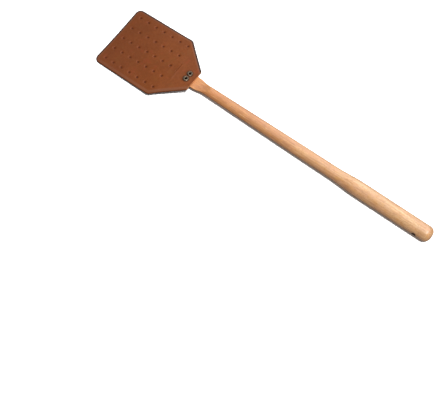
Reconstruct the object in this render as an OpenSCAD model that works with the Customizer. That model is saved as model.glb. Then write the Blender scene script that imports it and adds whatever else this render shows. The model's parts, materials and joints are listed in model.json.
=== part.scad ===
// Leather fly swatter with a turned wooden handle, lying on a table.
// +X runs from the butt of the handle to the far edge of the blade, +Z is up, and the
// origin is at the bottom centre of the whole object. Lengths are in millimetres.
// Stations along X are counted from the butt and shifted to the origin at the end.

/* [Handle] */
// Radius of the straight round grip
grip_r = 9.4; // [8:0.1:12]
// Station where the straight grip ends
grip_end = 95.6; // [80:0.1:110]
// Length of the rounding at the butt
butt_round = 7; // [4:0.5:8]
// Length of the slope from the grip down to the shaft
swell_len = 36; // [20:1:45]
// Radius of the shaft where it leaves the grip
shaft_r = 7.7; // [7:0.1:8]
// Radius of the neck, the thinnest place
neck_r = 6; // [5:0.05:6.5]
// Station where the neck starts to flare
flare_start = 307.6; // [300:0.1:312]
// Length of the flare
flare_len = 13.5; // [12:0.5:15]
// Radius of the head at the end of the flare
head_r = 8; // [7.5:0.1:8.5]
// Station of the tongue's end
tongue_end = 348.1; // [345:0.1:350]
// Radius of the head at the tongue's end
tongue_r = 8.6; // [8.6:0.1:9]

/* [Tongue] */
// Height of the seat for the leather above the handle's axis
seat_h = 0.5; // [0:0.1:1.5]
// Depth of the flat under the tongue below the handle's axis
back_h = 4; // [3.5:0.1:4.2]
// Radius of the cutter that leaves the run-out of both flats
cutter_r = 30; // [20:1:36]

/* [Hanging hole] */
// Station of the hole across the grip
hang_x = 17.6; // [15:0.1:30]
// Radius of the hole
hang_r = 2; // [1.5:0.1:3]

/* [Leather] */
// Thickness of the leather
leather_t = 3; // [2.5:0.1:3.5]
// Length of the leather from its far edge to its narrow edge
leather_len = 114.4; // [112:0.1:118]
// Width at the far edge
far_w = 85.8; // [80:0.1:90]
// Width at the shoulders, the widest place
shoulder_w = 87.4; // [82:0.1:92]
// Distance from the far edge to the shoulders
shoulder_d = 79.8; // [78:0.1:82]
// Width at the narrow edge over the handle
narrow_w = 28.8; // [26:0.1:32]
// Radius of the far corners and of the shoulders
corner_r = 7; // [4:0.5:9]
// Radius of the two corners at the narrow edge
narrow_r = 1.5; // [1:0.1:3]
// Distance from the far edge to the line where the leather bends
flex_d = 88.6; // [87:0.1:89]
// Gap left at that line between the two leather nodes
flex_gap = 0.3; // [0.2:0.05:0.5]

/* [Air holes] */
// Number of holes across the blade
hole_cols = 5; // [3:1:5]
// Number of holes along the blade
hole_rows = 7; // [3:1:7]
// Spacing of the holes across the blade
col_pitch = 16.7; // [14:0.1:17.5]
// Spacing of the holes along the blade
row_pitch = 11.7; // [10:0.1:11.8]
// Distance from the far edge to the middle of the holes
hole_mid_d = 45; // [43:0.1:46]
// Radius of a hole
hole_r = 1.1; // [0.8:0.1:2]

/* [Rivets] */
// Distance from the narrow edge to the rivets
rivet_d = 9; // [8:0.1:12]
// Distance between the two rivets
rivet_pitch = 7.7; // [7.6:0.1:8.4]
// Radius of the rivet's shank
shank_r = 1.6; // [1.4:0.05:1.8]
// Radius of the bore through the rivet
rivet_bore_r = 1.1; // [0.9:0.05:1.2]
// Radius of the rounded head ring
rivet_head_r = 3.65; // [3.2:0.05:3.7]
// Height of the rounded head ring
rivet_head_h = 1.1; // [0.8:0.1:1.4]
// Radius of the rolled tail ring
rivet_tail_r = 2.3; // [2.1:0.05:2.6]
// Height of the rolled tail ring
rivet_tail_h = 0.7; // [0.5:0.1:0.9]
// Radius of the washer
washer_r = 3.2; // [2.8:0.05:3.2]
// Thickness of the washer
washer_t = 0.6; // [0.4:0.05:0.8]

/* [Hidden] */
$fn = 96;
wood = [0.89, 0.68, 0.47];
leather = [0.54, 0.29, 0.16];
metal = [0.55, 0.52, 0.48];

fit = 0.05;                 // radial clearance of the rivets in their holes
past = 1;                   // how far a cutter runs past the surface that it cuts
profile_step = 1.5;         // spacing of the profile's points along the handle
shaft_bulge = 1.3;          // above 1, the shaft's taper is slightly convex
end_r = 2.5;                // rounding of the tongue's end
cutter_x = 319.6;           // station where both flats start to run out

axis_z = grip_r;            // the grip lies on the table
seat_z = axis_z + seat_h;
back_z = axis_z - back_h;
swell_end = grip_end + swell_len;
flare_end = flare_start + flare_len;

flap_len = flex_d;
flex_x = tongue_end + 2.5;  // the leather bends just past the tongue
flex_z = seat_z + leather_t / 2;
narrow_x = flex_x - (leather_len - flex_d);
rivet_x = narrow_x + rivet_d;

// The far edge's lower rim rests on the table: this is the angle that takes it there.
rim_reach = sqrt(pow(flap_len, 2) + pow(leather_t / 2, 2));
droop = asin(flex_z / rim_reach) - atan(leather_t / 2 / flap_len);
overall = flex_x + flap_len * cos(droop) + leather_t / 2 * sin(droop);

function smooth(u) = u * u * (3 - 2 * u);
function mix(a, b, u) = a + (b - a) * u;

// Radius of the handle at station x, from the end of the butt's rounding to the tongue's end.
function handle_r(x) =
    x <= grip_end ? grip_r
    : x <= swell_end ? mix(grip_r, shaft_r, smooth((x - grip_end) / swell_len))
    : x <= flare_start
        ? mix(shaft_r, neck_r, pow((x - swell_end) / (flare_start - swell_end), shaft_bulge))
    : x <= flare_end ? mix(neck_r, head_r, smooth((x - flare_start) / flare_len))
    : mix(head_r, tongue_r, (x - flare_end) / (tongue_end - flare_end));

// Half of the handle's section, as [radius, station] points.
butt_arc = [for (a = [0 : 10 : 90]) [grip_r - butt_round * (1 - sin(a)), butt_round * (1 - cos(a))]];
body_line = [for (x = [grip_end : profile_step : tongue_end - end_r]) [handle_r(x), x]];
end_arc = [for (a = [0 : 15 : 90])
    [handle_r(tongue_end) - end_r * (1 - cos(a)), tongue_end - end_r * (1 - sin(a))]];
handle_section = concat([[0, 0]], butt_arc, body_line, end_arc, [[0, tongue_end]]);

// Moves a piece drawn at its stations to the origin of the whole object.
module placed() {
    translate([-overall / 2, 0, 0]) children();
}

// A flat milled on the head, with a round run-out towards the neck. side is 1 for the top
// and -1 for the back.
module flat_cut(height, side) {
    wide = 2 * (tongue_r + past);
    deep = cutter_r;
    translate([0, 0, axis_z])
    mirror([0, 0, side > 0 ? 0 : 1]) {
        translate([cutter_x, -wide / 2, height]) cube([tongue_end - cutter_x + past, wide, deep]);
        translate([cutter_x, 0, height + cutter_r])
            rotate([90, 0, 0])
            cylinder(r = cutter_r, h = wide, center = true);
    }
}

// Everything that passes through at both rivets.
module at_rivet(side) {
    translate([rivet_x, side * rivet_pitch / 2, 0]) children();
}

module rivet_holes() {
    for (side = [-1, 1])
        at_rivet(side) cylinder(r = shank_r + fit, h = 4 * grip_r, center = true);
}

module handle() {
    color(wood)
    placed()
    difference() {
        translate([0, 0, axis_z]) rotate([0, 90, 0]) rotate_extrude() polygon(handle_section);
        flat_cut(seat_h, 1);
        flat_cut(back_h, -1);
        rivet_holes();
        translate([hang_x, 0, axis_z])
            rotate([90, 0, 0])
            cylinder(r = hang_r, h = 2 * (grip_r + past), center = true);
    }
}

// One rounded corner of the outline: the arc that touches the two edges meeting at p.
// from and to are the points before and after p, counter-clockwise.
function unit(v) = v / norm(v);
function corner(from, p, to, r) =
    let (a = unit(from - p), b = unit(to - p))
    let (half = acos(a * b) / 2)
    let (centre = p + unit(a + b) * r / sin(half))
    let (start = p + a * r / tan(half) - centre)
    let (turn = 180 - 2 * half)
    [for (i = [0 : 8]) let (t = turn * i / 8)
        centre + [start[0] * cos(t) - start[1] * sin(t), start[0] * sin(t) + start[1] * cos(t)]];

// The cut outline of the leather, flat: x is the distance from the bend towards the far edge.
tips = [[flap_len, -far_w / 2], [flap_len, far_w / 2],
        [flap_len - shoulder_d, shoulder_w / 2], [flap_len - leather_len, narrow_w / 2],
        [flap_len - leather_len, -narrow_w / 2], [flap_len - shoulder_d, -shoulder_w / 2]];
tip_r = [corner_r, corner_r, corner_r, narrow_r, narrow_r, corner_r];
outline = [for (i = [0 : 5])
    each corner(tips[(i + 5) % 6], tips[i], tips[(i + 1) % 6], tip_r[i])];

// The leather on one side of the bend, as a flat plate around z = 0.
module leather_plate(from_x, to_x) {
    linear_extrude(height = leather_t, center = true)
    intersection() {
        polygon(outline);
        translate([from_x, -shoulder_w]) square([to_x - from_x, 2 * shoulder_w]);
    }
}

// Length of the blade's rounded end where the leather bends, just short of its full width there.
flex_w = mix(shoulder_w, narrow_w, (flex_d - shoulder_d) / (leather_len - shoulder_d)) - flex_gap;

module leather_root() {
    color(leather)
    placed()
    difference() {
        translate([flex_x, 0, flex_z])
            leather_plate(flap_len - leather_len - past, -leather_t / 2 - flex_gap);
        rivet_holes();
    }
}

module leather_blade() {
    color(leather)
    placed()
    translate([flex_x, 0, flex_z])
    rotate([0, droop, 0])
    difference() {
        union() {
            leather_plate(0, flap_len + past);
            rotate([90, 0, 0]) cylinder(r = leather_t / 2, h = flex_w, center = true);
        }
        for (row = [0 : hole_rows - 1], col = [0 : hole_cols - 1])
            translate([flap_len - hole_mid_d + (row - (hole_rows - 1) / 2) * row_pitch,
                       (col - (hole_cols - 1) / 2) * col_pitch, 0])
                cylinder(r = hole_r, h = 2 * leather_t, center = true, $fn = 32);
    }
}

// Half of a rivet's section: head ring on the leather, tube, tail ring rolled over the washer.
head_z = seat_z + leather_t;
tail_z = back_z - washer_t;
head_mid = (rivet_head_r + rivet_bore_r) / 2;
tail_mid = (rivet_tail_r + rivet_bore_r) / 2;
head_arc = [for (a = [0 : 15 : 180])
    [head_mid + (rivet_head_r - head_mid) * cos(a), head_z + rivet_head_h * sin(a)]];
tail_arc = [for (a = [180 : 15 : 360])
    [tail_mid + (rivet_tail_r - tail_mid) * cos(a), tail_z + rivet_tail_h * sin(a)]];
rivet_section = concat(head_arc, tail_arc, [[shank_r, tail_z], [shank_r, head_z]]);

module rivet(side) {
    color(metal)
    placed()
    at_rivet(side) rotate_extrude() polygon(rivet_section);
}

module washer(side) {
    color(metal)
    placed()
    at_rivet(side)
    translate([0, 0, tail_z])
    difference() {
        cylinder(r = washer_r, h = washer_t);
        translate([0, 0, -past]) cylinder(r = shank_r + fit, h = washer_t + 2 * past);
    }
}

module rivet_left() {
    rivet(1);
}

module rivet_right() {
    rivet(-1);
}

module washer_left() {
    washer(1);
}

module washer_right() {
    washer(-1);
}

handle();
leather_root();
leather_blade();
rivet_left();
rivet_right();
washer_left();
washer_right();
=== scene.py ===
import json
import math

import bpy
import numpy as np
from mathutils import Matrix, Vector
from mathutils.geometry import delaunay_2d_cdt


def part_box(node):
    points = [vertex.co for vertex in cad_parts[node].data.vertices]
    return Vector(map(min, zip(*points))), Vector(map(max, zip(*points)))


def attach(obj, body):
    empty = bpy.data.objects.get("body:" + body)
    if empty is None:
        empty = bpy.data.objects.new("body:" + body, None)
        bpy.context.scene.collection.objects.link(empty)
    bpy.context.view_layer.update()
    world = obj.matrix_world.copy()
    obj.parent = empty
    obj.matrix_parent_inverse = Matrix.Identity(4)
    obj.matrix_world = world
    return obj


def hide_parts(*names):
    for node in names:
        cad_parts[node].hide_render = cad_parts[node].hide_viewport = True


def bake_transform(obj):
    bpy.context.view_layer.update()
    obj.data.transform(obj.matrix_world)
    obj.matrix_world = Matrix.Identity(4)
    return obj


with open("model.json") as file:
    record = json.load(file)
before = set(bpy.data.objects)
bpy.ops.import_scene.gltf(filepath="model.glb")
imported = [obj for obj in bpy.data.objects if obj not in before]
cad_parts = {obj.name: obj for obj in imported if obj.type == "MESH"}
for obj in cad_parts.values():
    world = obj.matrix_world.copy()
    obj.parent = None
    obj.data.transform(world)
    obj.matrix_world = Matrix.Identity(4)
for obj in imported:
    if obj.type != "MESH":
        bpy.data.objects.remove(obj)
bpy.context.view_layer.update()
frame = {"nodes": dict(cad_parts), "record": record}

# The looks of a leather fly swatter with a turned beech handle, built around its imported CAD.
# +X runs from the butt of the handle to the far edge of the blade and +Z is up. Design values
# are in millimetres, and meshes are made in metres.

MM = 0.001


# ---------------------------------------------------------------- places given by the frame

def box_mm(node):
    """The lowest and highest corner of a CAD node, in millimetres."""
    low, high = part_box(node)
    return np.array(low) / MM, np.array(high) / MM


HINGE = np.array(frame["record"]["behaviour"]["joints"][0]["pos_m"]) / MM
HANGING_HOLE = np.array(frame["record"]["mounts"][0]["pos_m"]) / MM
HANDLE_LOW, HANDLE_HIGH = box_mm("handle")
ROOT_LOW, ROOT_HIGH = box_mm("leather_root")
RIVETS = [sum(box_mm("rivet_" + side)) / 2 for side in ("left", "right")]

AXIS_Z = (HANDLE_LOW[2] + HANDLE_HIGH[2]) / 2
LEATHER_T = ROOT_HIGH[2] - ROOT_LOW[2]
SEAT_H = ROOT_LOW[2] - AXIS_Z


# ---------------------------------------------------------------- shader and mesh helpers

class Shader:
    """A material, with short calls for the nodes used here."""

    def __init__(self, name):
        self.material = bpy.data.materials.new(name)
        self.material.use_nodes = True
        self.tree = self.material.node_tree
        self.surface = self.tree.nodes["Principled BSDF"]

    def feed(self, socket, value):
        if isinstance(value, bpy.types.NodeSocket):
            self.tree.links.new(value, socket)
        else:
            socket.default_value = value

    def add(self, kind, inputs, **settings):
        node = self.tree.nodes.new(kind)
        for name, value in settings.items():
            setattr(node, name, value)
        for socket, value in inputs.items():
            self.feed(node.inputs[socket], value)
        return node

    def math(self, operation, first, second=0.0):
        return self.add("ShaderNodeMath", {0: first, 1: second}, operation=operation).outputs[0]

    def times(self, first, second):
        return self.math("MULTIPLY", first, second)

    def attribute(self, name):
        return self.add("ShaderNodeAttribute", {}, attribute_name=name).outputs["Fac"]

    def vector(self, operation, first, second):
        return self.add("ShaderNodeVectorMath", {0: first, 1: second}, operation=operation).outputs[0]

    def drawn_out(self, place, along, across):
        """A place scaled by one number along X and by another across it, for streaks along X."""
        return self.vector("MULTIPLY", place, (along, across, across))

    def distance(self, first, second):
        node = self.add("ShaderNodeVectorMath", {0: first, 1: second}, operation="DISTANCE")
        return node.outputs["Value"]

    def x_of(self, place):
        return self.add("ShaderNodeSeparateXYZ", {"Vector": place}).outputs["X"]

    def place_mm(self):
        """The shaded point of an object, in millimetres."""
        spot = self.add("ShaderNodeTexCoord", {}).outputs["Object"]
        return self.vector("MULTIPLY", spot, (1 / MM, 1 / MM, 1 / MM))

    def noise(self, place, scale, detail=3.0, roughness=0.5, distortion=0.0):
        inputs = {"Vector": place, "Scale": scale, "Detail": detail,
                  "Roughness": roughness, "Distortion": distortion}
        return self.add("ShaderNodeTexNoise", inputs).outputs["Fac"]

    def cells(self, place, scale):
        return self.add("ShaderNodeTexVoronoi", {"Vector": place, "Scale": scale}).outputs["Distance"]

    def ramp(self, value, low, high, start=0.0, end=1.0):
        """Turns a value between low and high smoothly into start to end, and holds it outside."""
        inputs = {"Value": value, "From Min": low, "From Max": high, "To Min": start, "To Max": end}
        return self.add("ShaderNodeMapRange", inputs, interpolation_type="SMOOTHSTEP").outputs["Result"]

    def mix(self, factor, first, second):
        """One colour turned into another by a factor of 0 to 1."""
        node = self.add("ShaderNodeMix", {}, data_type="RGBA")
        sockets = {socket.identifier: socket for socket in node.inputs}
        self.feed(sockets["Factor_Float"], factor)
        self.feed(sockets["A_Color"], first)
        self.feed(sockets["B_Color"], second)
        return next(socket for socket in node.outputs if socket.identifier == "Result_Color")

    def bump(self, height, distance, strength=1.0, normal=None):
        node = self.add("ShaderNodeBump", {"Height": height, "Distance": distance, "Strength": strength})
        if normal is not None:
            self.feed(node.inputs["Normal"], normal)
        return node.outputs["Normal"]

    def finish(self, **inputs):
        """Sets or links the surface's sockets, named with _ for spaces, and gives the material."""
        for name, value in inputs.items():
            self.feed(self.surface.inputs[name.replace("_", " ")], value)
        return self.material


def srgb(red, green, blue):
    """A colour given as 0 to 255 display values, in the linear light that shaders use."""
    return (*[((c / 255 + 0.055) / 1.055) ** 2.4 for c in (red, green, blue)], 1.0)


def smooth(u):
    """0 below 0, 1 above 1, and an even S between."""
    u = np.clip(u, 0, 1)
    return u * u * (3 - 2 * u)


SHARP_DEGREES = 35          # edges that turn more than this stay sharp


def mesh_piece(name, points, faces, material, sharp_degrees=SHARP_DEGREES):
    """A smooth-shaded mesh object from points in millimetres."""
    mesh = bpy.data.meshes.new(name)
    mesh.from_pydata((np.asarray(points) * MM).tolist(), [], faces)
    mesh.validate()
    mesh.polygons.foreach_set("use_smooth", [True] * len(mesh.polygons))
    mesh.set_sharp_from_angle(angle=math.radians(sharp_degrees))
    mesh.materials.append(material)
    piece = bpy.data.objects.new(name, mesh)
    bpy.context.scene.collection.objects.link(piece)
    return piece


def skin(rings):
    """Faces of a closed tube through rings of equal size, with a fan on each end."""
    rows, around = len(rings), len(rings[0])
    faces = []
    for row in range(rows - 1):
        for k in range(around):
            a, b = row * around + k, row * around + (k + 1) % around
            faces.append((a, b, b + around, a + around))
    first, last = rows * around, rows * around + 1
    for k in range(around):
        faces.append((first, (k + 1) % around, k))
        faces.append((last, first - around + k, first - around + (k + 1) % around))
    ends = [np.mean(rings[0], axis=0), np.mean(rings[-1], axis=0)]
    return np.vstack([np.vstack(rings), ends]), faces


# ---------------------------------------------------------------- the leather's cut shape, flat

# s is the distance from the bend towards the far edge, v the distance from the centre line.
# Names that end in _D are distances back from the far edge, and names in _W are full widths.
LEATHER_LEN = 114.4
FAR_W = 85.8
SHOULDER_W = 87.4
SHOULDER_D = 79.8
NARROW_W = 28.8
FLEX_D = 88.6
CORNER_R = 7
NARROW_R = 1.5

HOLE_COLS = 5
HOLE_ROWS = 7
COL_PITCH = 16.7
ROW_PITCH = 11.7
HOLE_MID_D = 45
HOLE_R = 1.1
RIVET_HOLE_R = 1.65

# The outline's corners before rounding, counter-clockwise from the far edge's right corner.
TIPS = np.array([
    (FLEX_D, -FAR_W / 2), (FLEX_D, FAR_W / 2),
    (FLEX_D - SHOULDER_D, SHOULDER_W / 2), (FLEX_D - LEATHER_LEN, NARROW_W / 2),
    (FLEX_D - LEATHER_LEN, -NARROW_W / 2), (FLEX_D - SHOULDER_D, -SHOULDER_W / 2)])
TIP_R = [CORNER_R, CORNER_R, CORNER_R, NARROW_R, NARROW_R, CORNER_R]
TIP_STEPS = [10, 10, 6, 5, 5, 6]
RAW_EDGE = 3                # the edge after the fourth tip is the cut end over the handle
EDGE_STEP = 1.0             # spacing of points along the outline
LEAST_R = 0.02              # a corner's radius where an inset has used it up
LEFT_REACH = 1.5            # how far in a side's facing is told apart from its neighbours'

TURNED = np.array([[0, -1], [1, 0]])
ALONG = [v / np.linalg.norm(v) for v in np.roll(TIPS, -1, axis=0) - TIPS]
INWARD = [TURNED @ v for v in ALONG]


def from_edge(points, edge):
    """Distance of flat points inside one straight edge of the outline."""
    return (points - TIPS[edge]) @ INWARD[edge]


def meet(edge_a, edge_b, inset):
    """Where two neighbouring edges meet when both are moved inwards."""
    rows = np.array([INWARD[edge_a], INWARD[edge_b]])
    offsets = [INWARD[edge] @ TIPS[edge] + inset for edge in (edge_a, edge_b)]
    return np.linalg.solve(rows, offsets)


def outline_ring(inset):
    """The outline moved inwards, always with the same number of points."""
    arcs = []
    for i in range(6):
        before = (i - 1) % 6
        radius = max(TIP_R[i] - inset, LEAST_R)
        centre = meet(before, i, inset + radius)
        start = math.atan2(-INWARD[before][1], -INWARD[before][0])
        turn = math.acos(np.clip(INWARD[before] @ INWARD[i], -1, 1))
        angles = start + turn * np.linspace(0, 1, TIP_STEPS[i] + 1)
        arcs.append(centre + radius * np.column_stack([np.cos(angles), np.sin(angles)]))
    ring = []
    for i in range(6):
        start, end = arcs[i][-1], arcs[(i + 1) % 6][0]
        steps = round(np.linalg.norm(TIPS[(i + 1) % 6] - TIPS[i]) / EDGE_STEP)
        between = [start + (end - start) * k / steps for k in range(1, steps)]
        ring += [*arcs[i], *between]
    return np.array(ring)


def burnished_distance(points):
    """Distance from the rounded, burnished part of the outline, which is all but the raw edge."""
    near = np.min([from_edge(points, i) for i in range(6) if i != RAW_EDGE], axis=0)
    for i in range(6):
        if i in (RAW_EDGE, RAW_EDGE + 1):
            continue
        before = (i - 1) % 6
        centre = meet(before, i, TIP_R[i])
        out = points - centre
        in_corner = (out @ ALONG[before] > 0) & (out @ -ALONG[i] > 0)
        near = np.where(in_corner, TIP_R[i] - np.linalg.norm(out, axis=1), near)
    return near


def left_share(points):
    """1 near the sides that face left (+Y), whose wall keeps the dark edge colour only low down as a painted
    shadow line under the edge, and 0 near others.
    """
    sides = [i for i in range(6) if i != RAW_EDGE]
    near = np.array([np.exp(-np.maximum(from_edge(points, i), 0) / LEFT_REACH) for i in sides])
    left = np.array([smooth(-INWARD[i][1]) for i in sides])
    return (near * left[:, None]).sum(axis=0) / near.sum(axis=0)


def air_holes():
    """Centres of the punched holes, row by row."""
    rows = (np.arange(HOLE_ROWS) - (HOLE_ROWS - 1) / 2) * ROW_PITCH
    cols = (np.arange(HOLE_COLS) - (HOLE_COLS - 1) / 2) * COL_PITCH
    return [(FLEX_D - HOLE_MID_D + row, col) for row in rows for col in cols]


def rivet_holes():
    """Centres of the two rivet holes."""
    return [(place[0] - HINGE[0], place[1]) for place in RIVETS]


# ---------------------------------------------------------------- the leather's form

# Rings of points inside the outline and around the holes, close together where the form curves.
EDGE_INSETS = [0, 0.08, 0.22, 0.42, 0.66, 0.92, 1.3, 1.9, 2.6, 3.4]
HOLE_RINGS = [0, 0.07, 0.18, 0.34, 0.55, 0.85, 1.2, 1.6, 2.0]
RIVET_RINGS = [0, 0.9, 1.9]
HOLE_STEPS = 24

# The rest of the sheet is filled by a grid of equal triangles.
GRID_START = -30
GRID_END = 90
GRID_HALF = 45
GRID_STEP = 1.1
ROW_SHARE = 0.866           # spacing of the grid's rows, as a share of its step
GRID_CLEAR = 0.5            # gap between the grid and the rings
HOLE_SHARE = 0.985          # a face this far inside a hole's last ring belongs to the hole

TOP_ROUND = 0.92            # rounding of the burnished edge, on the face and on the back
BACK_ROUND = 0.66
RAW_ROUND = 0.22
LIP_ROUND = 0.34            # rounding of the punched lip
DISH_DEPTH = 0.62           # how far the punch pressed the face down around a hole
DISH_WIDTH = 1.6
LEATHER_SHARP_DEGREES = 50
PUNCH_TAPER = 0.75          # how much smaller a hole's radius is where the punch came out
TAPER_REACH = 1.4
GROOVE_DEPTH = 0.14         # shallow line beside the edge, from the handle to a little past the bend
GROOVE_IN = 2.5
GROOVE_HALF = 0.45
GROOVE_END = 12
GROOVE_FADE = 8

BEND_START = -2.5           # the tongue ends here
BEND_END = 9.5
SAG_SLOPE = 0.02            # the slope falls off by this on both sides of its mean
STEEPEST = 0.4              # no droop is steeper than this, in radians
HALVINGS = 40
LINE_START = -40
LINE_END = 95
LINE_STEP = 0.1

SHOULDER_HANG = 4.0         # how far the unsupported shoulders hang below the tongue
HELD_HALF = 6               # half the width that the tongue holds level
HELD_FADE = 10
HANG_START = 12             # the hanging starts to lessen this far before the bend
FAR_LIFT = 1.4              # how far the far corners curl up off the table
LIFT_START = 20
LIFT_LEN = 68

FOLDS = [(0, 1.1, 0.55), (1.9, 0.55, 0.5), (3.6, 0.4, 0.5)]     # place, height and width
FOLD_SIDES = (-12, 15.5)
FOLD_FADE = 4
FOLD_WANDER = (0.25, 5)             # how far a fold's line strays, and over what length
CREASES = [(1.0, 4, 7, 0.42), (3.7, 3, 7, 0.34), (7.2, 5, 6, 0.24)]     # place, middle, reach, depth
CREASE_WIDTH = 0.6
CREASE_BOW = 0.005
WAVE_HEIGHT = 0.2
WAVE_LENGTHS = (11, 13)             # along s and v, for a radian each
WAVE_SHIFTS = (1.3, 0.6)
WAVE_START = 4
WAVE_FADES = (40, 20)               # over how much they grow past their start and die at the end
BED_RISE = (0.22, 4.1, 1.1)         # the leather around a rivet: height, radius and width
BED_DIP = (0.15, 6.8, 1.8)


def fall(distance, radius):
    """How far a rounded edge lies below the face, at a distance from the wall."""
    left = np.clip(radius - distance, 0, radius)
    return radius - np.sqrt(radius ** 2 - left ** 2)


class CentreLine:
    """The leather's middle plane, seen from the side: level on the tongue, then down to the table.

    The mean slope is found by halving, so that the far edge just touches the table.
    """

    def __init__(self):
        self.s = np.arange(LINE_START, LINE_END, LINE_STEP)
        low, high = 0.0, STEEPEST
        for _ in range(HALVINGS):
            mean = (low + high) / 2
            self.set_slope(mean)
            rim = self.at(np.array([FLEX_D]), np.array([-LEATHER_T / 2]))[0][1]
            low, high = (mean, high) if rim > 0 else (low, mean)

    def set_slope(self, mean):
        turned = smooth((self.s - BEND_START) / (BEND_END - BEND_START))
        past = np.clip((self.s - BEND_END) / (FLEX_D - BEND_END), 0, 1)
        self.slope = turned * (mean + SAG_SLOPE * (1 - 2 * past))
        step = self.s[1] - self.s[0]
        self.x = self.s[0] + np.concatenate([[0], np.cumsum(np.cos(self.slope[:-1]))]) * step
        self.z = -np.concatenate([[0], np.cumsum(np.sin(self.slope[:-1]))]) * step

    def at(self, s, height):
        """Points at flat distances s and heights above the middle plane, as [x, z]."""
        slope = np.interp(s, self.s, self.slope)
        x = HINGE[0] + np.interp(s, self.s, self.x) + height * np.sin(slope)
        z = HINGE[2] + np.interp(s, self.s, self.z) + height * np.cos(slope)
        return np.column_stack([x, z])


def bell(distance, width):
    return np.exp(-(distance / width) ** 2)


def shoulder_hang(s, v):
    """The leather beside the tongue hangs down, most at the shoulders."""
    beside = smooth((np.abs(v) - HELD_HALF) / HELD_FADE)
    spread = np.clip(np.abs(v) / (SHOULDER_W / 2), 0, 1) ** 2
    return -SHOULDER_HANG * spread * beside * (1 - smooth((s + HANG_START) / (FLEX_D + HANG_START)))


def far_lift(s, v):
    """The far corners curl up."""
    return FAR_LIFT * (v / (SHOULDER_W / 2)) ** 2 * smooth((s - LIFT_START) / LIFT_LEN)


def folds(s, v):
    """The fold pressed up by the tongue's end, and two fainter ones past it."""
    stray, length = FOLD_WANDER
    wander = s - BEND_START + stray * np.sin(v / length)
    height = sum(height * bell(wander - place, width) for place, height, width in FOLDS)
    return height * smooth((v - FOLD_SIDES[0]) / FOLD_FADE) * smooth((FOLD_SIDES[1] - v) / FOLD_FADE)


def creases(s, v):
    """Short bowed creases across the bend."""
    height = 0
    for place, middle, reach, depth in CREASES:
        line = s - place - CREASE_BOW * (v - middle) ** 2
        height = height - depth * bell(line, CREASE_WIDTH) * np.exp(-((v - middle) / reach) ** 4)
    return height


def waves(s, v):
    """Faint unevenness of the free blade, none at its ends."""
    along = np.sin(s / WAVE_LENGTHS[0] + WAVE_SHIFTS[0])
    across = np.sin(v / WAVE_LENGTHS[1] + WAVE_SHIFTS[1])
    ends = smooth((s - WAVE_START) / WAVE_FADES[0]) * smooth((FLEX_D - s) / WAVE_FADES[1])
    return WAVE_HEIGHT * along * across * ends


def rivet_beds(s, v):
    """The leather is raised around each rivet's head, with a dip around that."""
    height = 0
    for place in rivet_holes():
        away = np.hypot(s - place[0], v - place[1])
        for sign, (rise, radius, width) in ((1, BED_RISE), (-1, BED_DIP)):
            height = height + sign * rise * bell(away - radius, width)
    return height


def relief(s, v):
    """Height of the leather's own shape above its centre line."""
    shapes = (shoulder_hang, far_lift, folds, creases, waves, rivet_beds)
    return sum(shape(s, v) for shape in shapes)


def fill_points(holes):
    """Points of a triangular grid between the outline's rings and the holes' rings."""
    grid = []
    for row, s in enumerate(np.arange(GRID_START, GRID_END, GRID_STEP * ROW_SHARE)):
        for v in np.arange(-GRID_HALF, GRID_HALF, GRID_STEP) + (row % 2) * GRID_STEP / 2:
            grid.append((s, v))
    grid = np.array(grid)
    inside = EDGE_INSETS[-1] + GRID_CLEAR
    clear = np.min([from_edge(grid, i) for i in range(6)], axis=0) > inside
    clear &= burnished_distance(grid) > inside
    for place, radius, steps in holes:
        clear &= np.linalg.norm(grid - place, axis=1) > radius + steps[-1] + GRID_CLEAR
    return grid[clear]


def fill_faces(points, inner, count, holes):
    """Triangles between the rings' inner loops, which leave the holes open."""
    used = [k for loop in inner for k in loop] + list(range(count, len(points)))
    place_of = {k: i for i, k in enumerate(used)}
    edges = [(place_of[a], place_of[b]) for loop in inner for a, b in zip(loop, loop[1:] + loop[:1])]
    result = delaunay_2d_cdt([Vector(points[k]) for k in used], edges, [], 1, 1e-6)
    origin = [used[ids[0]] for ids in result[3]]
    faces = []
    for face in result[2]:
        corners = [origin[k] for k in face]
        middle = points[corners].mean(axis=0)
        in_hole = any(np.hypot(*(middle - place)) < (radius + steps[-1]) * HOLE_SHARE
                      for place, radius, steps in holes)
        if not in_hole:
            faces.append(tuple(corners))
    return faces


def leather_sheet():
    """Flat points, faces and the closed loops of the cut sheet: outline first, then holes."""
    blocks, faces, loops, inner = [], [], [], []
    count = 0

    def add_rings(rings, inwards):
        nonlocal count
        around = len(rings[0])
        for ring in range(len(rings) - 1):
            for k in range(around):
                a, b = count + ring * around + k, count + ring * around + (k + 1) % around
                faces.append((a, b, b + around, a + around) if inwards else (b, a, a + around, b + around))
        blocks.extend(rings)
        loops.append(list(range(count, count + around)))
        count += len(rings) * around
        inner.append(list(range(count - around, count)))

    add_rings([outline_ring(inset) for inset in EDGE_INSETS], True)
    turn = np.linspace(0, 2 * math.pi, HOLE_STEPS, endpoint=False)
    circle = np.column_stack([np.cos(turn), np.sin(turn)])
    holes = [(place, HOLE_R, HOLE_RINGS) for place in air_holes()]
    holes += [(place, RIVET_HOLE_R, RIVET_RINGS) for place in rivet_holes()]
    for place, radius, steps in holes:
        add_rings([np.array(place) + circle * (radius + step) for step in steps], False)

    points = np.vstack([*blocks, fill_points(holes)])
    return points, faces + fill_faces(points, inner, count, holes), loops


def from_air_holes(points):
    """Distance of flat points outside the nearest air hole, and their direction from its centre."""
    centres = np.array(air_holes())
    nearest = centres[np.argmin(np.linalg.norm(points[:, None] - centres, axis=2), axis=1)]
    out = points - nearest
    reach = np.linalg.norm(out, axis=1)
    return reach - HOLE_R, out / reach[:, None]


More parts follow.
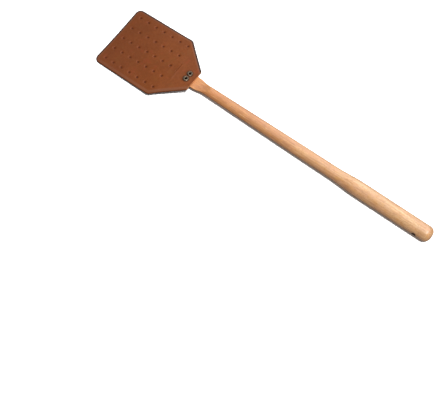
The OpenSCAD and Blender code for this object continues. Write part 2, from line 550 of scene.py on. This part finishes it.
def face_heights(s, edge, raw, rim):
    """Heights of the face above the middle plane, from distances to the edges and holes."""
    dish = DISH_DEPTH * (1 - smooth(rim / DISH_WIDTH))
    top = LEATHER_T / 2 - fall(edge, TOP_ROUND) - fall(raw, RAW_ROUND) - fall(rim, LIP_ROUND) - dish
    groove = GROOVE_DEPTH * bell(edge - GROOVE_IN, GROOVE_HALF) * smooth((GROOVE_END - s) / GROOVE_FADE)
    return top - groove


def back_heights(edge, raw, rim):
    return -LEATHER_T / 2 + fall(edge, BACK_ROUND) + fall(raw, RAW_ROUND) + fall(rim, LIP_ROUND / 2)


def closed_skin(faces, loops, count):
    """Faces of face, back and walls, when the back repeats the face's points after them."""
    result = list(faces) + [tuple(k + count for k in reversed(face)) for face in faces]
    for loop in loops:
        outer = loop is loops[0]
        for a, b in zip(loop, loop[1:] + loop[:1]):
            result.append((b, a, a + count, b + count) if outer else (a, b, b + count, a + count))
    return result


def leather_mesh(material):
    """The sheet in its form: face and back at their heights, joined by walls at edge and holes."""
    points, faces, loops = leather_sheet()
    s, v = points[:, 0], points[:, 1]
    edge = burnished_distance(points)
    raw = from_edge(points, RAW_EDGE)
    rim, outwards = from_air_holes(points)
    narrowed = points - outwards * (PUNCH_TAPER * (1 - smooth(rim / TAPER_REACH)))[:, None]

    line = CentreLine()
    shape = relief(s, v)
    spots = []
    for flat, height in ((points, face_heights(s, edge, raw, rim)), (narrowed, back_heights(edge, raw, rim))):
        xz = line.at(flat[:, 0], height + shape)
        spots.append(np.column_stack([xz[:, 0], flat[:, 1], xz[:, 1]]))

    skin_faces = closed_skin(faces, loops, len(points))
    piece = mesh_piece("leather", np.vstack(spots), skin_faces, material, LEATHER_SHARP_DEGREES)
    marks = {"edge": edge, "raw": raw, "rim": rim, "left": left_share(points)}
    mark_leather(piece.data, points, marks)
    return piece


def mark_leather(mesh, points, marks):
    """Gives the mesh what its material reads: distances, the face's side and the flat places."""
    for name, values in marks.items():
        mesh.attributes.new(name, "FLOAT", "POINT").data.foreach_set("value", np.tile(values, 2))
    face_side = np.repeat([1.0, 0.0], len(points))
    mesh.attributes.new("face_side", "FLOAT", "POINT").data.foreach_set("value", face_side)
    flat = np.tile(points, (2, 1))
    corners = np.empty(len(mesh.loops), int)
    mesh.loops.foreach_get("vertex_index", corners)
    mesh.uv_layers.new(name="cut").data.foreach_set("uv", flat[corners].ravel())


# ---------------------------------------------------------------- the leather's look

TAN = srgb(107, 54, 19)
LIGHT_TAN = srgb(115, 59, 22)
DEEP_TAN = srgb(97, 46, 14)
RED_TAN = srgb(120, 53, 24)
OLIVE_TAN = srgb(108, 62, 24)
# Painted shade: the blade darker towards its far end, where it tilts away from the light.
FAR_PAINTED_SHADE = srgb(82, 37, 10)
STREAK = srgb(132, 74, 38)
PORE = srgb(84, 38, 13)
# Painted highlight: a lighter band just inside the burnished edges, where the rounded edge catches light.
EDGE_PAINTED_HIGHLIGHT = srgb(114, 68, 44)
# Painted highlight: a lighter ring on each punched hole's lip.
LIP_PAINTED_HIGHLIGHT = srgb(134, 72, 40)
# Painted shade around the rivet heads.
RIVET_PAINTED_SHADE = srgb(72, 36, 18)
# Painted shade in the punched holes.
HOLE_PAINTED_SHADE = srgb(80, 28, 14)
NAP = (srgb(112, 74, 46), srgb(142, 100, 68))
CORE = (srgb(124, 74, 48), srgb(146, 92, 62))
RAW_CUT = srgb(196, 134, 88)
# Edge dye, which on the left sides also serves as a painted shadow line at the foot of the wall.
EDGE_DYE_AND_SHADOW = srgb(60, 40, 32)

DYE_WIDTH = 2.1             # how far the edge dye runs onto the face, but not on the left side
DYE_SOFT = 0.3
DYE_WANDER = 0.5
EDGE_HIGHLIGHT_BAND = (0.2, 0.8, 2.8, 4.4)      # the painted highlight along the edges starts, is full, starts to fade and ends
RIVET_SHADE_BAND = (3.6, 5.6)                 # the painted shade around a rivet is full, and ends
FINE_BUMP = 0.00012         # heights of the grain and of broad unevenness, in metres
BROAD_BUMP = 0.0004


def leather_face(shader, place, mottle, grain):
    """Colour of the face away from its edges: tan with patches, streaks and pores."""
    clouds = shader.noise(place, 0.05, 4, 0.55)
    hues = shader.noise(place, 0.13, 3, 0.5)
    streaks = shader.noise(shader.vector("MULTIPLY", place, (1.6, 0.14, 1.0)), 1.0, 3, 0.6)
    face = shader.mix(shader.ramp(clouds, 0.35, 0.65), TAN, LIGHT_TAN)
    face = shader.mix(shader.ramp(mottle, 0.3, 0.75, 0.0, 0.5), face, DEEP_TAN)
    face = shader.mix(shader.ramp(hues, 0.42, 0.3, 0.0, 0.5), face, RED_TAN)
    face = shader.mix(shader.ramp(hues, 0.56, 0.7, 0.0, 0.35), face, OLIVE_TAN)
    face = shader.mix(shader.ramp(streaks, 0.5, 0.8, 0.0, 0.25), face, STREAK)
    return shader.mix(shader.ramp(grain, 0.55, 0.75, 0.0, 0.35), face, PORE)


def leather_painted_light(shader, face, cut, edge, rim):
    """The face with painted light: a painted highlight in a band along its edges, painted shade towards the
    far end and around the rivets, and a painted highlight on the holes' lips.
    """
    # Painted highlight: the face lighter in a band just inside its edges.
    start, full, fade, end = EDGE_HIGHLIGHT_BAND
    edge_highlight = shader.times(shader.ramp(edge, start, full), shader.ramp(edge, fade, end, 1.0, 0.0))
    face = shader.mix(shader.times(edge_highlight, 0.8), face, EDGE_PAINTED_HIGHLIGHT)
    # Painted shade: darker towards the far edge.
    face = shader.mix(shader.ramp(shader.x_of(cut), 5, 80, 0.0, 0.4), face, FAR_PAINTED_SHADE)
    # Painted shade: the leather darker around each rivet.
    left, right = (shader.distance(cut, (*place, 0)) for place in rivet_holes())
    nearer = shader.math("MINIMUM", left, right)
    face = shader.mix(shader.ramp(nearer, *RIVET_SHADE_BAND, 0.6, 0.0), face, RIVET_PAINTED_SHADE)
    # Painted highlight: lighter around the lips of the air holes.
    return shader.mix(shader.ramp(rim, 0.2, 1.4, 0.35, 0.0), face, LIP_PAINTED_HIGHLIGHT)


def leather_sides(shader, face, place, side, edge, raw, rim, left):
    """Adds the napped back, the cut walls, the dyed edge, which on the left sides stays only as a painted
    shadow line at the wall's foot, and painted shade in the holes to the face.
    """
    flesh = shader.noise(place, 2.6, 6, 0.7, 0.6)
    colour = shader.mix(shader.ramp(side, 0.02, 0.0), face, shader.mix(flesh, *NAP))
    wall = shader.times(shader.ramp(side, 0.0, 0.05), shader.ramp(side, 0.95, 1.0, 1.0, 0.0))
    colour = shader.mix(wall, colour, shader.mix(flesh, *CORE))
    # Painted shade: the holes' walls and rims darker.
    colour = shader.mix(shader.ramp(rim, 0.1, 0.45, 0.6, 0.0), colour, HOLE_PAINTED_SHADE)

    wander = shader.math("SUBTRACT", shader.noise(place, 0.9, 3), 0.5)
    dye_end = shader.math("ADD", edge, shader.times(wander, DYE_WANDER))
    dye = shader.ramp(dye_end, DYE_WIDTH - DYE_SOFT, DYE_WIDTH + DYE_SOFT, 1.0, 0.0)
    # On the left sides the face and upper wall stay bare, and the dark colour at the wall's foot is a painted
    # shadow line.
    bare = shader.times(left, shader.ramp(side, 0.3, 0.5))
    colour = shader.mix(shader.times(dye, shader.math("SUBTRACT", 1.0, bare)), colour, EDGE_DYE_AND_SHADOW)
    raw_wall = shader.times(wall, shader.ramp(raw, 0.05, 0.3, 1.0, 0.0))
    return shader.mix(raw_wall, colour, RAW_CUT)


def leather_material():
    shader = Shader("brown_leather")
    edge, raw, rim, left = (shader.attribute(name) for name in ("edge", "raw", "rim", "left"))
    side = shader.attribute("face_side")
    cut = shader.add("ShaderNodeUVMap", {}, uv_map="cut").outputs["UV"]
    deep = shader.add("ShaderNodeCombineXYZ", {"Z": shader.times(side, LEATHER_T)}).outputs[0]
    place = shader.vector("ADD", cut, deep)
    mottle = shader.noise(place, 0.28, 5, 0.6)
    grain = shader.noise(place, 1.7, 4, 0.6)
    pores = shader.cells(place, 1.5)

    face = leather_painted_light(shader, leather_face(shader, place, mottle, grain), cut, edge, rim)
    colour = leather_sides(shader, face, place, side, edge, raw, rim, left)
    height = shader.math("ADD", shader.times(grain, 0.5), shader.times(pores, 0.35))
    fine = shader.bump(height, FINE_BUMP, 0.5)
    broad = shader.bump(mottle, BROAD_BUMP, 0.35, fine)
    rough = shader.ramp(grain, 0.2, 0.8, 0.52, 0.68)
    return shader.finish(Base_Color=colour, Roughness=rough, Normal=broad, Specular_IOR_Level=0.12)


def make_leather():
    """The whole sheet, which stands for both CAD pieces of the leather, built in its resting shape: level on
    the tongue and bent down past it.
    """
    piece = leather_mesh(leather_material())
    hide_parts("leather_root", "leather_blade")
    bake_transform(piece)


# ---------------------------------------------------------------- the handle

# Stations are distances from the butt.
GRIP_R = (HANDLE_HIGH[2] - HANDLE_LOW[2]) / 2
HANDLE_LEN = HANDLE_HIGH[0] - HANDLE_LOW[0]
GRIP_END = 95.6             # here the straight grip ends, and at SWELL_END the shaft begins
SWELL_END = 131.6
BUTT_ROUND = 7
SHAFT_R = 7.7
NECK_R = 6
FLARE_START = 307.6
FLARE_END = 321.1
HEAD_R = 8
TONGUE_R = 8.6
BACK_H = 4                  # distance of the tongue's lower flat from the axis
CUTTER_R = 30               # the cutter that milled the flats, and where its run-out starts
CUTTER_X = 319.6
END_R = 2.5
SHAFT_BULGE = 1.3           # above 1 the shaft stays thick for longer before the neck

SIDE_STEPS = 26
FLAT_STEPS = 22
WIDEST_FLAT = 60            # a section's flats start at most this many degrees up its sides
CORNER_SOFT = 0.35          # how widely sanding has softened the tongue's edges, in its section
SOFT_STEPS = 1024
RUN_OUT = (296, 330)        # stations between which the flats run out
RUN_OUT_SOFT = 1.8          # how widely they are softened along the handle
RUN_OUT_STEP = 0.25
RUN_OUT_REACH = 24          # how many of these steps the softening looks to each side
SPARE_STEPS = 8
BUTT_TURN = 7.5             # degrees of the butt's rounding between two sections
END_TURNS = [0, 20, 40, 60, 80]
GRIP_STEP = 3
SWELL_STEP = 2
SHAFT_STEP = 4
FLARE_STEP = 0.5
TONGUE_STEP = 1.5
POLE = 0.02                 # the first section lies this far in from the butt
HOLE_CHAMFER = 0.4
AXIS_R = 0.001              # radius at which a cutter's profile starts
CUTTER_STEPS = 32
THROUGH = 12                # reach of the rivet holes' cutters from the axis


def handle_radius(x):
    """Radius of the turned handle at a station, without the roundings at its ends."""
    swell = GRIP_R + (SHAFT_R - GRIP_R) * smooth((x - GRIP_END) / (SWELL_END - GRIP_END))
    along = np.clip((x - SWELL_END) / (FLARE_START - SWELL_END), 0, 1)
    shaft = SHAFT_R + (NECK_R - SHAFT_R) * along ** SHAFT_BULGE
    flare = NECK_R + (HEAD_R - NECK_R) * smooth((x - FLARE_START) / (FLARE_END - FLARE_START))
    head = HEAD_R + (TONGUE_R - HEAD_R) * (x - FLARE_END) / (HANDLE_LEN - FLARE_END)
    return np.select([x <= SWELL_END, x <= FLARE_START, x <= FLARE_END], [swell, shaft, flare], head)


def end_rounding(x):
    """What the roundings at the butt and at the tongue's end take off the radius."""
    butt = BUTT_ROUND - math.sqrt(max(BUTT_ROUND ** 2 - max(BUTT_ROUND - x, 0) ** 2, 0))
    gone = max(x - (HANDLE_LEN - END_R), 0)
    end = END_R - math.sqrt(max(END_R ** 2 - gone ** 2, 0))
    return butt + end


def flat_height(x, height):
    """Distance of a milled flat from the axis, rising along the cutter's run-out."""
    run = min(max(CUTTER_X - x, 0), CUTTER_R)
    return height + CUTTER_R - math.sqrt(CUTTER_R ** 2 - run ** 2)


def section(x):
    """The handle's outline at a station, as [y, z] around its axis, with softened corners."""
    radius = float(handle_radius(np.array([float(x)]))[0]) - end_rounding(x)
    top, back = flat_height(x, SEAT_H), flat_height(x, BACK_H)
    widest = math.radians(WIDEST_FLAT)
    up = math.asin(min(top / radius, math.sin(widest)))
    down = math.asin(min(back / radius, math.sin(widest)))
    side = np.linspace(-down, up, SIDE_STEPS, endpoint=False)
    right = np.column_stack([np.cos(side), np.sin(side)]) * radius
    over = np.linspace(math.cos(up), -math.cos(up), FLAT_STEPS, endpoint=False) * radius
    upper = np.column_stack([over, np.minimum(np.sqrt(radius ** 2 - over ** 2), top)])
    side = np.linspace(up, -down, SIDE_STEPS, endpoint=False)
    left = np.column_stack([-np.cos(side), np.sin(side)]) * radius
    under = np.linspace(-math.cos(down), math.cos(down), FLAT_STEPS, endpoint=False) * radius
    lower = np.column_stack([under, -np.minimum(np.sqrt(radius ** 2 - under ** 2), back)])
    return soften(np.vstack([right, upper, left, lower]), CORNER_SOFT)


def soften(loop, width):
    """A closed loop with its corners rounded by averaging over a width along its length."""
    closed = np.vstack([loop, loop[:1]])
    run = np.concatenate([[0], np.cumsum(np.linalg.norm(np.diff(closed, axis=0), axis=1))])
    dense = np.linspace(0, run[-1], SOFT_STEPS, endpoint=False)
    pitches = np.fft.rfftfreq(SOFT_STEPS, run[-1] / SOFT_STEPS)
    keep = np.exp(-2 * (math.pi * width * pitches) ** 2)
    result = []
    for axis in range(2):
        line = np.fft.irfft(np.fft.rfft(np.interp(dense, run, closed[:, axis])) * keep, SOFT_STEPS)
        result.append(np.interp(run[:-1], np.append(dense, run[-1]), np.append(line, line[0])))
    return np.column_stack(result)


def handle_stations():
    """Stations of the handle's sections, close together at both ends and at the run-out."""
    butt = BUTT_ROUND * (1 - np.cos(np.radians(np.arange(0, 90, BUTT_TURN))))
    butt[0] = POLE
    end = HANDLE_LEN - END_R * (1 - np.sin(np.radians(END_TURNS)))
    spans = [(BUTT_ROUND, GRIP_END, GRIP_STEP), (GRIP_END, SWELL_END, SWELL_STEP),
             (SWELL_END, RUN_OUT[0], SHAFT_STEP), (*RUN_OUT, FLARE_STEP),
             (RUN_OUT[1], HANDLE_LEN - END_R, TONGUE_STEP)]
    return np.concatenate([butt, *(np.arange(*span) for span in spans), end])


def handle_rings():
    """The handle's sections in place, softened along the handle where the flats run out."""
    stations = handle_stations()
    outlines = np.array([section(x) for x in stations])
    spare = (RUN_OUT_REACH + SPARE_STEPS) * RUN_OUT_STEP
    dense = np.arange(RUN_OUT[0] - spare, RUN_OUT[1] + spare, RUN_OUT_STEP)
    fine = np.array([section(x) for x in dense])
    steps = np.arange(-RUN_OUT_REACH, RUN_OUT_REACH + 1)
    weights = np.exp(-0.5 * (steps * RUN_OUT_STEP / RUN_OUT_SOFT) ** 2)
    weights /= weights.sum()
    for i, x in enumerate(stations):
        if RUN_OUT[0] <= x <= RUN_OUT[1]:
            k = int(round((x - dense[0]) / RUN_OUT_STEP))
            near = fine[k - RUN_OUT_REACH:k + RUN_OUT_REACH + 1]
            outlines[i] = np.tensordot(weights, near, axes=1)
    return [np.column_stack([np.full(len(outline), HANDLE_LOW[0] + x), outline[:, 0], outline[:, 1] + AXIS_Z])
            for x, outline in zip(stations, outlines)]


def turned(profile, centre, axis, material, name, steps=64):
    """A lathe mesh: profile is [radius, distance along the axis], closed, in millimetres."""
    profile = np.asarray(profile, float)
    angles = np.linspace(0, 2 * math.pi, steps, endpoint=False)
    points, faces = [], []
    for angle in angles:
        around = profile[:, :1] * [[math.cos(angle), math.sin(angle)]]
        points.append(np.column_stack([around, profile[:, 1]]))
    count = len(profile)
    for i in range(steps):
        j = (i + 1) % steps
        for k in range(count):
            n = (k + 1) % count
            faces.append((i * count + k, j * count + k, j * count + n, i * count + n))
    points = np.vstack(points)
    order = {"y": [1, 2, 0], "z": [0, 1, 2]}[axis]
    return mesh_piece(name, points[:, order] + centre, faces, material)


def cut_away(piece, cutters):
    """Subtracts the cutters from a piece and removes them."""
    for cutter in cutters:
        step = piece.modifiers.new("cut", "BOOLEAN")
        step.operation = "DIFFERENCE"
        step.solver = "EXACT"
        step.object = cutter
    bpy.context.view_layer.update()
    graph = bpy.context.evaluated_depsgraph_get()
    cut = bpy.data.meshes.new_from_object(piece.evaluated_get(graph))
    piece.modifiers.clear()
    piece.data = cut
    for cutter in cutters:
        bpy.data.objects.remove(cutter)
    cut.set_sharp_from_angle(angle=math.radians(SHARP_DEGREES))


# Each colour of the wood is given at the grip and at the neck, which is more orange and darker: the wood's
# own tone together with painted shade, as if the neck were less lit.
PALE = (srgb(202, 162, 114), srgb(188, 122, 52))
DEEP = (srgb(178, 131, 88), srgb(162, 96, 45))
ROSY = (srgb(198, 148, 106), srgb(183, 112, 54))
HONEY = (srgb(190, 140, 80), srgb(184, 120, 54))
DARK_FIBRE = srgb(158, 102, 60)
LIGHT_FIBRE = srgb(216, 176, 132)
FLECK = srgb(136, 82, 46)
# Painted shade around the hanging hole's mouth.
MOUTH_PAINTED_SHADE = srgb(58, 34, 22)

NECK_TONE_AND_SHADE_SPAN = (-160, 130)     # between these places the grip's colours turn into the neck's
PITH = (0, -31, 47)         # where the tree's middle was, seen along the handle
PITH_DRIFT = 0.012          # how far the grain drifts away from the handle's axis
RING_DENSITY = 0.42         # year rings in a millimetre
RING_WANDER = 7.0
MOUTH_SHADE_REACH = (2.2, 3.4)    # the painted shade around the hanging hole is full, and ends
WOOD_BUMP = 0.00012
NECK_MATT = 0.3             # how much rougher the neck is than the grip


def late_wood(shader, place):
    """1 in the dark late part of each year ring, falling off towards the early part."""
    wander = shader.noise(shader.drawn_out(place, 0.008, 0.09), 1.0, 2)
    bent = shader.times(shader.math("SUBTRACT", wander, 0.5), RING_WANDER)
    away = shader.distance(shader.drawn_out(place, PITH_DRIFT, 1), PITH)
    rings = shader.math("FRACT", shader.times(shader.math("ADD", away, bent), RING_DENSITY))
    return shader.times(shader.ramp(rings, 0.35, 0.95), shader.ramp(rings, 0.97, 1.0, 1.0, 0.0))


def wood_colour(shader, place, neck_tone_and_shade, late, fibres):
    """Beech: bands and patches of four colours, year rings, fibres and short dark flecks."""
    bands = shader.noise(shader.drawn_out(place, 0.02, 0.22), 1.0, 3, 0.55)
    blush = shader.noise(shader.drawn_out(place, 0.06, 0.14), 1.0, 3, 0.6)
    gold = shader.noise(shader.drawn_out(place, 0.11, 0.3), 1.0, 4, 0.6)
    flecks = shader.cells(shader.drawn_out(place, 0.26, 1.1), 1.0)
    pale, deep, rosy, honey = (shader.mix(neck_tone_and_shade, *pair) for pair in (PALE, DEEP, ROSY, HONEY))

    colour = shader.mix(shader.ramp(bands, 0.35, 0.7), pale, deep)
    colour = shader.mix(shader.ramp(blush, 0.48, 0.62, 0.0, 0.7), colour, rosy)
    colour = shader.mix(shader.ramp(gold, 0.5, 0.62, 0.0, 0.85), colour, honey)
    colour = shader.mix(shader.times(late, 0.3), colour, deep)
    colour = shader.mix(shader.ramp(fibres, 0.48, 0.66, 0.0, 0.7), colour, DARK_FIBRE)
    colour = shader.mix(shader.ramp(fibres, 0.44, 0.3, 0.0, 0.7), colour, LIGHT_FIBRE)
    return shader.mix(shader.ramp(flecks, 0.14, 0.32, 0.7, 0.0), colour, FLECK)


def wood_material():
    shader = Shader("beech")
    place = shader.place_mm()
    # Partly the wood's own tone, partly painted shade: the colours darken towards the neck.
    neck_tone_and_shade = shader.ramp(shader.x_of(place), *NECK_TONE_AND_SHADE_SPAN)
    late = late_wood(shader, place)
    fibres = shader.noise(shader.drawn_out(place, 0.05, 1.3), 1.0, 4, 0.65)
    colour = wood_colour(shader, place, neck_tone_and_shade, late, fibres)

    # Painted shade: the wood darker around the hanging hole's mouth.
    level = shader.vector("MULTIPLY", place, (1, 0, 1))
    mouth = shader.distance(level, (HANGING_HOLE[0], 0, HANGING_HOLE[2]))
    colour = shader.mix(shader.ramp(mouth, *MOUTH_SHADE_REACH, 0.9, 0.0), colour, MOUTH_PAINTED_SHADE)

    height = shader.math("ADD", fibres, shader.times(late, -0.4))
    normal = shader.bump(height, WOOD_BUMP, 0.35)
    rough = shader.math("ADD", shader.ramp(fibres, 0.3, 0.8, 0.42, 0.56), shader.times(neck_tone_and_shade, NECK_MATT))
    return shader.finish(Base_Color=colour, Roughness=rough, Normal=normal, Specular_IOR_Level=0.8,
                         Coat_Weight=0.35, Coat_Roughness=0.46)


def make_handle():
    """The turned and milled handle, with its hanging hole and the rivets' holes cut through."""
    wood = wood_material()
    points, faces = skin(handle_rings())
    piece = mesh_piece("beech_handle", points, faces, wood)
    hang_r = frame["record"]["mounts"][0]["dims"]["r_mm"]
    far, mouth = GRIP_R + 1, GRIP_R - HOLE_CHAMFER
    wide = hang_r + HOLE_CHAMFER + 1
    bore = [(AXIS_R, -far), (wide, -far), (hang_r, -mouth), (hang_r, mouth), (wide, far), (AXIS_R, far)]
    cutters = [turned(bore, HANGING_HOLE, "y", wood, "hanging_cutter")]
    through = [(AXIS_R, -THROUGH), (RIVET_HOLE_R, -THROUGH), (RIVET_HOLE_R, THROUGH), (AXIS_R, THROUGH)]
    for i, place in enumerate(RIVETS):
        centre = (place[0], place[1], AXIS_Z)
        cutters.append(turned(through, centre, "z", wood, f"rivet_cutter_{i}", CUTTER_STEPS))
    cut_away(piece, cutters)
    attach(piece, "handle")
    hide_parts("handle")


# ---------------------------------------------------------------- rivets and washers

NICKEL = srgb(100, 88, 74)
TARNISH = srgb(54, 45, 38)
METAL_BUMP = 0.00005


def metal_material():
    """Dull nickel, tarnished in patches that are also rougher."""
    shader = Shader("dull_nickel")
    place = shader.place_mm()
    patches = shader.noise(place, 0.9, 4, 0.6)
    colour = shader.mix(shader.ramp(patches, 0.35, 0.7), NICKEL, TARNISH)
    rough = shader.ramp(patches, 0.3, 0.8, 0.34, 0.5)
    normal = shader.bump(shader.noise(place, 3.0, 3), METAL_BUMP, 0.3)
    return shader.finish(Base_Color=colour, Metallic=1.0, Roughness=rough, Normal=normal)


def dress_metal():
    """Gives their material to the rivets and washers, whose CAD meshes stay."""
    metal = metal_material()
    for node in ("rivet_left", "rivet_right", "washer_left", "washer_right"):
        for slot in frame["nodes"][node].material_slots:
            slot.material = metal


# ---------------------------------------------------------------- table, light and camera

FILL = 0.25                             # how bright the studio around the table is
BACKDROP = (0.95, 0.95, 0.95, 1)        # the colour seen where the table ends
TABLE_HALF = 20                         # half the table's side, in metres
TABLE_SEEN = (1.35, 1.35, 1.35, 1)      # over-exposed, so that only the contact shadow shows on it
TABLE_BOUNCE = (0.25, 0.22, 0.22, 1)    # what the table throws back onto the object

KEY_FROM = (-0.3, 0.1, 0.95)
SOFTBOX_FROM = (-0.42, -0.5, 0.85)
SHEEN_FROM = (0.22, -0.8, 0.55)
LAMP_DISTANCE = 1.3

CAMERA_AZIMUTH = math.radians(216.62)
CAMERA_ELEVATION = math.radians(65.81)
CAMERA_TARGET = Vector((-0.0121, 0.1072, 0))
CAMERA_DISTANCE = 1.5
CAMERA_LENS = 110.4
SENSOR_WIDTH = 36


def make_lamp(name, kind, direction, distance, **settings):
    """A light that shines on the origin from a direction."""
    data = bpy.data.lights.new(name, kind)
    for key, value in settings.items():
        setattr(data, key, value)
    lamp = bpy.data.objects.new(name, data)
    lamp.location = Vector(direction).normalized() * distance
    lamp.rotation_euler = Vector(direction).to_track_quat("Z", "Y").to_euler()
    bpy.context.scene.collection.objects.link(lamp)
    return lamp


def make_table():
    size = TABLE_HALF
    corners = [(-size, -size, 0), (size, -size, 0), (size, size, 0), (-size, size, 0)]
    shader = Shader("pale_table")
    seen = shader.add("ShaderNodeLightPath", {}).outputs["Is Camera Ray"]
    colour = shader.mix(seen, TABLE_BOUNCE, TABLE_SEEN)
    material = shader.finish(Base_Color=colour, Roughness=0.9, Specular_IOR_Level=0.1)
    mesh_piece("table", np.array(corners) / MM, [(0, 1, 2, 3)], material)


def make_studio():
    """Plain light from all around, with a near-white backdrop behind the table."""
    world = bpy.data.worlds.new("studio")
    world.use_nodes = True
    nodes, links = world.node_tree.nodes, world.node_tree.links
    light = nodes["Background"]
    light.inputs["Strength"].default_value = FILL
    light.inputs["Color"].default_value = (1, 1, 1, 1)
    backdrop = nodes.new("ShaderNodeBackground")
    backdrop.inputs["Color"].default_value = BACKDROP
    choose = nodes.new("ShaderNodeMixShader")
    links.new(nodes.new("ShaderNodeLightPath").outputs["Is Camera Ray"], choose.inputs[0])
    links.new(light.outputs[0], choose.inputs[1])
    links.new(backdrop.outputs[0], choose.inputs[2])
    links.new(choose.outputs[0], nodes["World Output"].inputs["Surface"])
    bpy.context.scene.world = world


def make_lamps():
    """A key light, a softbox, and a wide light that only shows in the gloss."""
    make_lamp("key", "SUN", KEY_FROM, 2, energy=3.52, angle=math.radians(8))
    make_lamp("softbox", "AREA", SOFTBOX_FROM, LAMP_DISTANCE, energy=6.5, shape="DISK", size=1.1)
    sheen = make_lamp("sheen", "AREA", SHEEN_FROM, LAMP_DISTANCE, energy=20, shape="DISK", size=1.6)
    sheen.visible_diffuse = False


def make_camera():
    data = bpy.data.cameras.new("camera")
    data.lens = CAMERA_LENS
    data.sensor_width = SENSOR_WIDTH
    camera = bpy.data.objects.new("camera", data)
    level = math.cos(CAMERA_ELEVATION)
    back = Vector((math.sin(CAMERA_AZIMUTH) * level, -math.cos(CAMERA_AZIMUTH) * level,
                   math.sin(CAMERA_ELEVATION)))
    camera.location = CAMERA_TARGET + back * CAMERA_DISTANCE
    camera.rotation_euler = back.to_track_quat("Z", "Y").to_euler()
    bpy.context.scene.collection.objects.link(camera)
    bpy.context.scene.camera = camera


make_camera()
make_table()
make_studio()
make_lamps()
make_leather()
make_handle()
dress_metal()
bpy.context.scene.view_settings.view_transform = "Standard"
